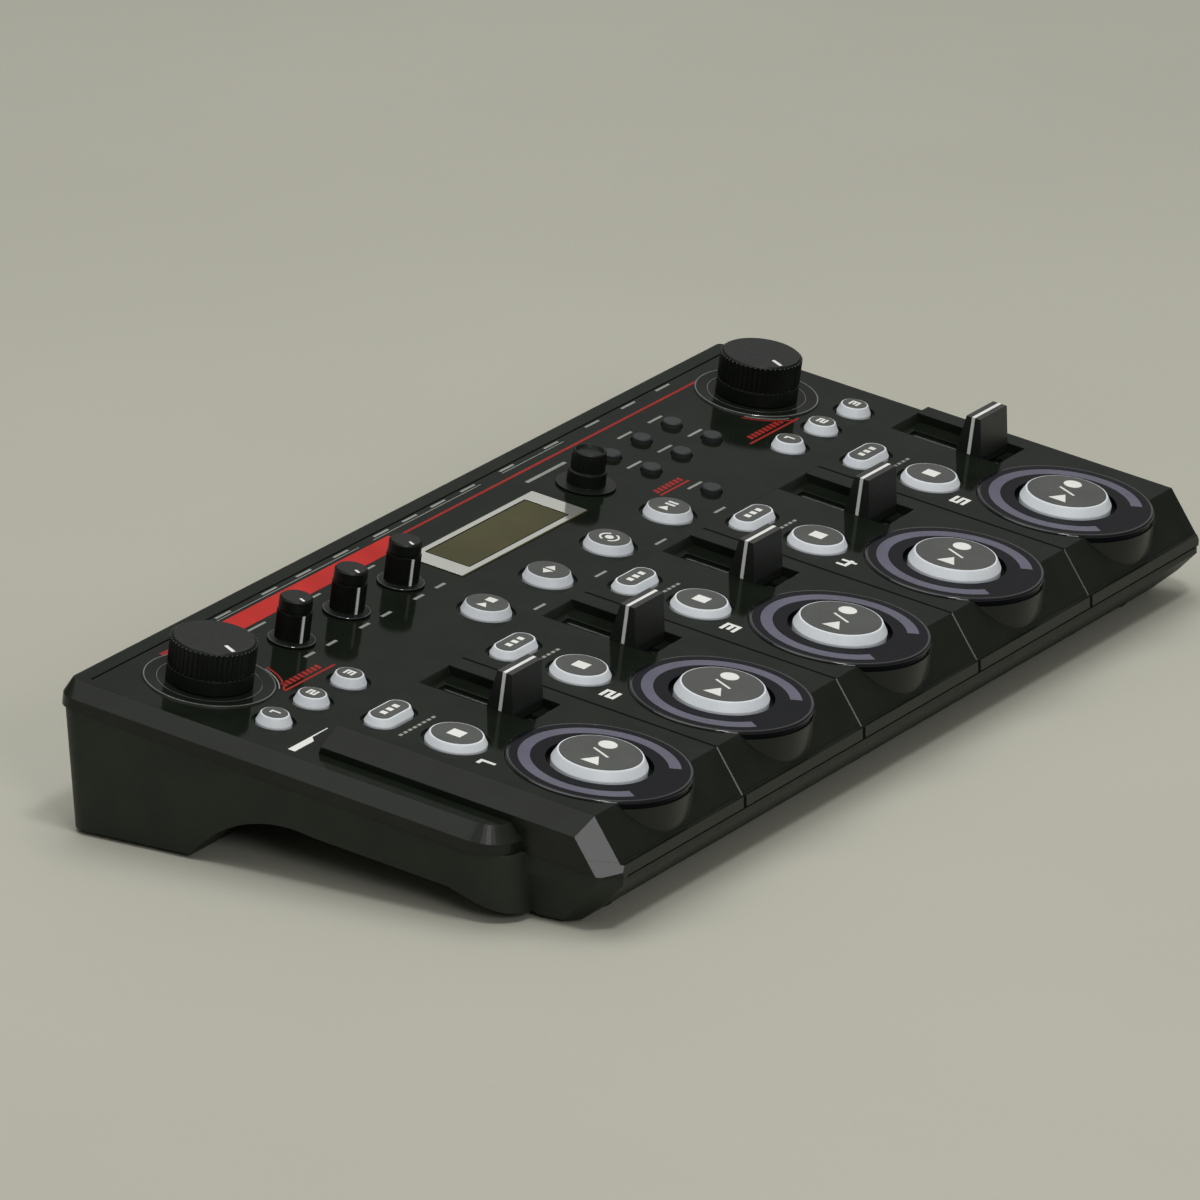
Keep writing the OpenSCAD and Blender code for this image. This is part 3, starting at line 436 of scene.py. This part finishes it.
def numeral(digit, u, v, tall):
    """Outline of a numeral about its middle."""
    scale = tall / NUMERAL_TALL
    return [(u + x * scale, v + y * scale) for x, y in NUMERALS[digit]]


# Key tops and their marks

# Thickness of the lacquer
CAP = 0.14
# Section of a ring disc's rounded edge, as (radius, height)
LENS_ROUND = 0.81
LENS_EDGE = around(29.4, -0.2, LENS_ROUND, [math.radians(a) for a in range(0, 91, 15)]) + [
    (29.0, 0.61), (29.0, 0.3), (29.8, -0.3)]


def round_cap(name, u, v, face, radius, body):
    """Lacquered disc on a key's flat top, its edge rounded over."""
    profile = [(0, -0.04), (radius, -0.04), (radius, CAP - 0.06), (radius - 0.08, CAP), (0, CAP)]
    return turned(name, u, v, face, profile, KEY_TOP, body, steps=72)


def ring_and_pad(n, u):
    """Rounded edge of a ring disc, and its pad's top with a play sign, a stroke and a record dot."""
    body = f"rec_button_{n}"
    turned(f"lens_edge_{n}", u, 0, 0, LENS_EDGE, SMOKE_EDGE, "chassis", steps=144)
    round_cap(f"pad_top_{n}", u, 0, PAD_FACE, radius=13.4, body=body)
    print_marks(f"pad_marks_{n}", [
        triangle(u - 6.2, -1.2, 6.0, 6.6), strip(u - 1.7, -3.6, u + 1.7, 3.6, 0.9), dot(u + 7.0, 1.6, 3.1)],
        PAD_FACE + CAP, INK, body)


def stop_and_edit_keys(n, u):
    """Tops of a track's two small keys: one square on the round key, three on the oblong one."""
    body = f"stop_button_{n}"
    round_cap(f"stop_top_{n}", u, STOP_V, KEY_FACE, radius=8.3, body=body)
    print_marks(f"stop_mark_{n}", [bar(u, STOP_V, 5.0, 5.0)], KEY_FACE + CAP, INK, body)
    body = f"edit_button_{n}"
    squares = [bar(u + x, EDIT_V, 2.2, 2.2) for x in (-3.6, 0, 3.6)]
    print_marks(f"edit_top_{n}", [oblong(u, EDIT_V, radius=3.5, length=10.2)], KEY_FACE, KEY_TOP, body, CAP)
    print_marks(f"edit_marks_{n}", squares, KEY_FACE + CAP, INK, body)


def track_marks(n, track):
    """A track's numeral and its rule of short dashes."""
    dash = 1.8
    step = 2.8
    starts = [track + RULE_U + step * k for k in range(8)]
    print_marks(f"track_numeral_{n}", [numeral(n, track + NUMERAL_U, NUMERAL_V, NUMERAL_TALL)], 0, INK)
    print_marks(f"track_rule_{n}", [plate(u, 56.4, u + dash, 57.5) for u in starts], 0, THIN_INK)


def fader_index(n, u):
    """White index line over a fader cap and down both its ends."""
    body = f"fader_knob_{n}"
    half = 9.24
    film = 0.07
    top = 13.2
    foot = -2.6
    wide = 1.2
    print_marks(f"fader_line_{n}", [bar(u, FADER_V, 2 * half, wide)], top, INK, body)
    for end, side in ((-1, "left"), (1, "right")):
        mesh = bmesh.new()
        corners = plate(FADER_V - wide / 2, foot, FADER_V + wide / 2, top)
        prism(mesh, [on_panel(u + end * (half - film), v, w) for v, w in corners],
              [on_panel(u + end * half, v, w) for v, w in corners])
        keep(f"fader_end_{n}_{side}", mesh, INK, body)


for n, track in enumerate(TRACKS, start=1):
    ring_and_pad(n, track + PAD_U)
    stop_and_edit_keys(n, track + KEY_U)
    track_marks(n, track)
    fader_index(n, track + FADER_U)


def transport_signs(key, u, v):
    """Plain signs of a transport key."""
    signs = {
        "all_start_button": [triangle(u - 2.4, v, 3.4, 3.8), bar(u + 2.6, v, 3.4, 3.4)],
        "undo_button": [triangle(u - 2.1, v, -3.4, 4.0), triangle(u + 2.3, v, 3.4, 4.0)],
        "tap_button": [dot(u, v, 1.5, 24), arc(u, v, 2.8, 3.5, 20, 160), arc(u, v, 2.8, 3.5, 200, 340)],
        "rhythm_button": [
            triangle(u - 2.6, v, 3.4, 3.8), bar(u + 0.8, v, 1.2, 3.8), bar(u + 3.0, v, 1.2, 3.8)],
    }
    return signs[key]


for u, body in zip(TRANSPORT, TRANSPORT_KEYS):
    round_cap(f"{body}_top", u, TRANSPORT_V, DECK_KEY_FACE, radius=7.0, body=body)
    print_marks(f"{body}_marks", transport_signs(body, u, TRANSPORT_V), DECK_KEY_FACE + CAP, INK, body)
for side, group in ((-1, "input"), (1, "track")):
    for k in range(3):
        u = side * FX_KEYS_U + (k - 1) * FX_KEY_PITCH
        body = f"{group}_fx_button_{k + 1}"
        round_cap(f"{body}_top", u, FX_KEYS_V, DECK_KEY_FACE, radius=4.2, body=body)
        print_marks(f"{body}_mark", [numeral(k + 1, u, FX_KEYS_V, 3.4)], DECK_KEY_FACE + CAP, INK, body)


# Pointers, rims with painted sheen, and painted glints on the ridges of the knobs

POINT = Vector((math.cos(KNOB_BEARING), math.sin(KNOB_BEARING)))


def top_dash(name, u, v, face, near, far, width, body):
    """White stroke on a knob's top, from near its middle to its rim."""
    a, b = POINT * near, POINT * far
    return print_marks(name, [strip(u + a.x, v + a.y, u + b.x, v + b.y, width)], face, INK, body)


def ridge_glints(name, u, v, body):
    """Small pale points at both ends of a dial's ridges, painted glints, each a double pyramid."""
    ridges = 50
    radius = 14.0
    half_wide = 0.24
    half_tall = 0.22
    mesh = bmesh.new()
    for k in range(ridges):
        bearing = 2 * math.pi * k / ridges
        out = Vector((math.cos(bearing), math.sin(bearing)))
        aside = Vector((-out.y, out.x)) * half_wide
        middle = out * radius
        ring = [middle + aside, out * (radius + 0.26), middle - aside, out * (radius - 0.3)]
        for height in (5.85, 14.62):
            belt = [mesh.verts.new(on_panel(u + p.x, v + p.y, DECK + height)) for p in ring]
            for end in (-half_tall, half_tall):
                pole = mesh.verts.new(on_panel(u + middle.x, v + middle.y, DECK + height + end))
                for j in range(4):
                    mesh.faces.new((belt[j], belt[(j + 1) % 4], pole))
    keep(name, mesh, TIP_GLINT, body)


def level_line(name, u, body):
    """White line down a slim knob's side, under its top's stroke."""
    foot = 1.2
    top = 10.6
    sunk = 5.4
    proud = 5.87
    half_wide = 0.45
    across = Vector((-POINT.y, POINT.x)) * half_wide
    mesh = bmesh.new()
    loops = []
    for radius in (sunk, proud):
        left, right = POINT * radius - across, POINT * radius + across
        loops.append([on_panel(u + p.x, LEVEL_V + p.y, DECK + height)
                      for p, height in ((left, foot), (right, foot), (right, top), (left, top))])
    prism(mesh, *loops)
    keep(name, mesh, INK, body)


for u, body in ((-DIAL_U, "input_fx_knob"), (DIAL_U, "track_fx_knob")):
    top_dash(f"{body}_dash", u, DIAL_V, DIAL_FACE, near=7.2, far=12.2, width=1.3, body=body)
    # The dish rim's pale grey is a painted highlight.
    turned(f"{body}_dish_rim", u, DIAL_V, DECK + 0.45, [
        (20.9, -0.05), (21.4, -0.05), (21.45, 0.06), (21.35, 0.16), (21.1, 0.2), (20.95, 0.12)],
        DISH_EDGE_HIGHLIGHT, "chassis")
    # The dish step's grey is a painted sheen.
    turned(f"{body}_dish_step", u, DIAL_V, DECK + 0.24, [
        (16.7, -0.05), (17.2, -0.05), (17.15, 0.1), (16.9, 0.14)], RIM_SHEEN, "chassis")
    # Painted glints at both ends of the ridges.
    ridge_glints(f"{body}_ridge_glints", u, DIAL_V, body)
for k, u in enumerate(LEVELS, start=1):
    body = f"level_knob_{k}"
    top_dash(f"{body}_dash", u, LEVEL_V, LEVEL_FACE, near=2.4, far=4.7, width=0.9, body=body)
    level_line(f"{body}_line", u, body)
    # The skirt rim's grey is a painted sheen.
    turned(f"{body}_skirt_rim", u, LEVEL_V, DECK + 0.78, [
        (7.5, -0.02), (7.85, -0.02), (7.92, 0.06), (7.8, 0.16), (7.6, 0.14)], RIM_SHEEN, body)


# Display: a silver frame printed round the crystal, and the crystal's own dark edge

def display_frame():
    """Silver frame with clipped corners, a little above the window."""
    outer = clipped_plate(half_wide=39.9, v0=120.6, v1=142.2, cut=0.3)
    inner = clipped_plate(half_wide=32.0, v0=122.7, v1=140.2, cut=0.4)
    low, high = DECK + 0.17, DECK + 0.3
    mesh = bmesh.new()
    loops = [[mesh.verts.new(on_panel(u, v, w)) for u, v in outline]
             for outline, w in ((outer, low), (outer, high), (inner, high), (inner, low))]
    corners = len(outer)
    for a, b in zip(loops, loops[1:] + loops[:1]):
        for k in range(corners):
            j = (k + 1) % corners
            mesh.faces.new((a[k], a[j], b[j], b[k]))
    keep("display_frame", mesh, PALE, "chassis")


def crystal_edge():
    """Four dark strips along the crystal's edges."""
    half = 31.9
    front = 122.8
    rear = 140.1
    tall = 0.35
    wide = 0.4
    print_marks("crystal_edge", [
        plate(-half, front, half, front + tall), plate(-half, rear - tall, half, rear),
        plate(-half, front + tall, -half + wide, rear - tall),
        plate(half - wide, front + tall, half, rear - tall)], DECK + 0.2, DARK_BORDER_AND_SHADE)


display_frame()
crystal_edge()


# Painted shade in the block's grooves, and the white rule to its left

# Matt black strips painted as shade down the grooves.
print_marks("groove_shade", [plate(u - 0.6, -19.8, u + 0.6, 75.3) for u in GROOVES], -0.05, DARK_BORDER_AND_SHADE)
print_marks("deck_rule", [[
    (-201.3, 83.6), (-190.0, 83.6), (-187.6, 85.6), (-178.0, 85.8), (-178.0, 86.2), (-201.3, 86.2)]],
    DECK, INK)


# Painted shade on the front lip, which leans back by so much for each millimetre up

LIP_LEAN = 0.68 / 3.9


def front_shade(name, spans):
    """Painted shade on the front lip: each span is (u from, u to, w from, w to) on the lip's leaning face.
    """
    mesh = bmesh.new()
    for u0, u1, w0, w1 in spans:
        lean = [(u, -FRONT_REACH + max(0.0, w + PART_DROP) * LIP_LEAN, w) for u, w in plate(u0, w0, u1, w1)]
        prism(mesh, [on_panel(u, v + 0.3, w) for u, v, w in lean],
              [on_panel(u, v - 0.06, w) for u, v, w in lean])
    keep(name, mesh, DARK_BORDER_AND_SHADE, "chassis")


# The parting seam and the grooves' notches are painted shade.
front_shade("front_seam_shade", [(-188.0, 188.0, -17.25, -16.8)])
front_shade("lip_notch_shade", [(u - 0.8, u + 0.8, -16.8, -13.15) for u in GROOVES])


# Printed marks on the deck: a bare banner, and plain bars and ticks beside the controls

BANNER_LEFT = -150.0
BANNER_RIGHT = -29.0
BANNER_FRONT = 148.0
BANNER_REAR = 156.2
FX_LINE_V = 111.6
MENU_LINE_V = 109.8
LINE_WIDE = 0.9
TICK_STEP = 2.5


def leaning_ticks(u, v, count):
    """A row of slanted ticks from its left end."""
    starts = [u + TICK_STEP * k for k in range(count)]
    return [[(x, v), (x + 1.7, v), (x + 2.3, v + 2.6), (x + 0.6, v + 2.6)] for x in starts]


def dial_arcs(inner, outer, spread):
    """Short arcs on the inner sides of the two dials, spread degrees to either side of their slant."""
    return [arc(-DIAL_U, DIAL_V, inner, outer, -40 - spread, -40 + spread),
            arc(DIAL_U, DIAL_V, inner, outer, 220 - spread, 220 + spread)]


print_marks("red_banner", [[
    (BANNER_LEFT, BANNER_FRONT), (BANNER_RIGHT - 4.5, BANNER_FRONT), (BANNER_RIGHT, BANNER_FRONT + 4.6),
    (BANNER_RIGHT, BANNER_REAR), (BANNER_LEFT, BANNER_REAR)]], DECK, RED)
print_marks("red_rule", [
    plate(BANNER_RIGHT, 153.1, 168.3, 154.2), plate(-168.5, 154.2, -163.0, 156.4)], DECK, THIN_RED)
print_marks("red_underlines", dial_arcs(23.6, 24.3, 22) + [
    strip(-163.0, FX_LINE_V, -133.0, FX_LINE_V, LINE_WIDE),
    strip(133.0, FX_LINE_V, 165.7, FX_LINE_V, LINE_WIDE),
    strip(70.0, MENU_LINE_V, 89.0, MENU_LINE_V, LINE_WIDE)], DECK, THIN_RED)
print_marks("red_ticks", leaning_ticks(-160.0, FX_LINE_V + 1.6, 9) + leaning_ticks(137.0, FX_LINE_V + 1.6, 9)
            + leaning_ticks(71.0, MENU_LINE_V + 1.4, 7), DECK, THIN_RED)
print_marks("dial_scales", dial_arcs(22.3, 22.7, 20), DECK, THIN_INK)
print_marks("socket_marks", [plate(u - 4.5, 158.6, u + 4.5, 159.5) for u in SOCKETS]
            + [plate(u0, 157.5, u1, 157.8) for u0, u1 in ((-134.0, -45.0), (-36.0, 32.0), (46.0, 86.0))],
            DECK, THIN_INK)
print_marks("level_marks", [plate(u - 6.0, 145.6, u + 6.0, 146.5) for u in LEVELS]
            + [plate(u + x, 121.0, u + x + 5.8, 122.2) for u in LEVELS for x in (-8.6, 4.8)]
            + [plate(45.4, 147.0, 70.6, 148.4)], DECK, THIN_INK)
print_marks("key_marks", [plate(u + 12.5, 88.6, u + 19.5, 89.6) for u in TRANSPORT]
            + [plate(u - 4.5, v + 6.2, u + 4.5, v + 7.2) for u, v in MENU_KEYS], DECK, THIN_INK)


# Floor, light and camera, in metres

floor_mesh = bmesh.new()
bmesh.ops.create_grid(floor_mesh, x_segments=1, y_segments=1, size=5.0)
floor_data = bpy.data.meshes.new("floor")
floor_mesh.to_mesh(floor_data)
floor_mesh.free()
floor = bpy.data.objects.new("floor", floor_data)
bpy.context.scene.collection.objects.link(floor)
floor_data.materials.append(PAPER)


def softbox(name, place, target, wide, tall, power):
    """Rectangular soft light that faces a point."""
    data = bpy.data.lights.new(name, "AREA")
    data.shape = "RECTANGLE"
    data.size = wide
    data.size_y = tall
    data.energy = power
    made = bpy.data.objects.new(name, data)
    made.location = place
    made.rotation_mode = "QUATERNION"
    made.rotation_quaternion = (Vector(target) - Vector(place)).to_track_quat("-Z", "Y")
    bpy.context.scene.collection.objects.link(made)


softbox("overhead_box", (0.15, 0.3, 1.9), (0.0, 0.0, 0.0), wide=1.4, tall=1.4, power=15.5)
softbox("rear_card", (1.75, 0.85, 1.0), (0.0, 0.0, 0.05), wide=1.5, tall=1.1, power=2.0)
softbox("front_top_box", (-0.6, -0.85, 2.4), (0.0, 0.0, 0.0), wide=0.4, tall=0.4, power=17.0)
softbox("rear_left_box", (-1.05, 0.7, 1.85), (-0.2, 0.0, 0.05), wide=0.8, tall=0.5, power=1.6)
softbox("front_left_box", (-1.5, -1.7, 1.1), (0.0, 0.0, 0.05), wide=0.6, tall=0.5, power=12.0)

world = bpy.data.worlds.new("studio")
bpy.context.scene.world = world
world.use_nodes = True
world.node_tree.nodes.clear()
# A plain room: pale above, dim towards the horizon, which is what the polished tops mirror.
toward = add(world.node_tree, "ShaderNodeTexCoord")
height = add(world.node_tree, "ShaderNodeSeparateXYZ", {"Vector": (toward, "Generated")})
glow = add(world.node_tree, "ShaderNodeMapRange", {
    "Value": (height, "Z"), "From Min": 0.35, "From Max": 0.8, "To Min": 0.42, "To Max": 1.15})
sky = add(world.node_tree, "ShaderNodeBackground", {
    "Color": linear("#9c9c98"), "Strength": (glow, "Result")})
add(world.node_tree, "ShaderNodeOutputWorld", {"Surface": (sky, "Background")})

# Camera fitted to the photograph: long lens
lens = bpy.data.cameras.new("camera")
lens.sensor_width = 36.0
lens.sensor_fit = "HORIZONTAL"
lens.lens = 362.05
lens.clip_start = 0.1
lens.clip_end = 50.0
camera = bpy.data.objects.new("camera", lens)
bpy.context.scene.collection.objects.link(camera)
ahead = Vector((0.81308106, 0.48044505, -0.32874266)).normalized()
right = Vector((0.51205586, -0.85887845, 0.01125202)).normalized()
above = right.cross(ahead).normalized()
turn = Matrix((right, above, -ahead)).transposed()
camera.matrix_world = Matrix.Translation((-3.2379, -1.8909, 1.3414)) @ turn.to_4x4()
bpy.context.scene.camera = camera
bpy.context.scene.view_settings.view_transform = "Standard"
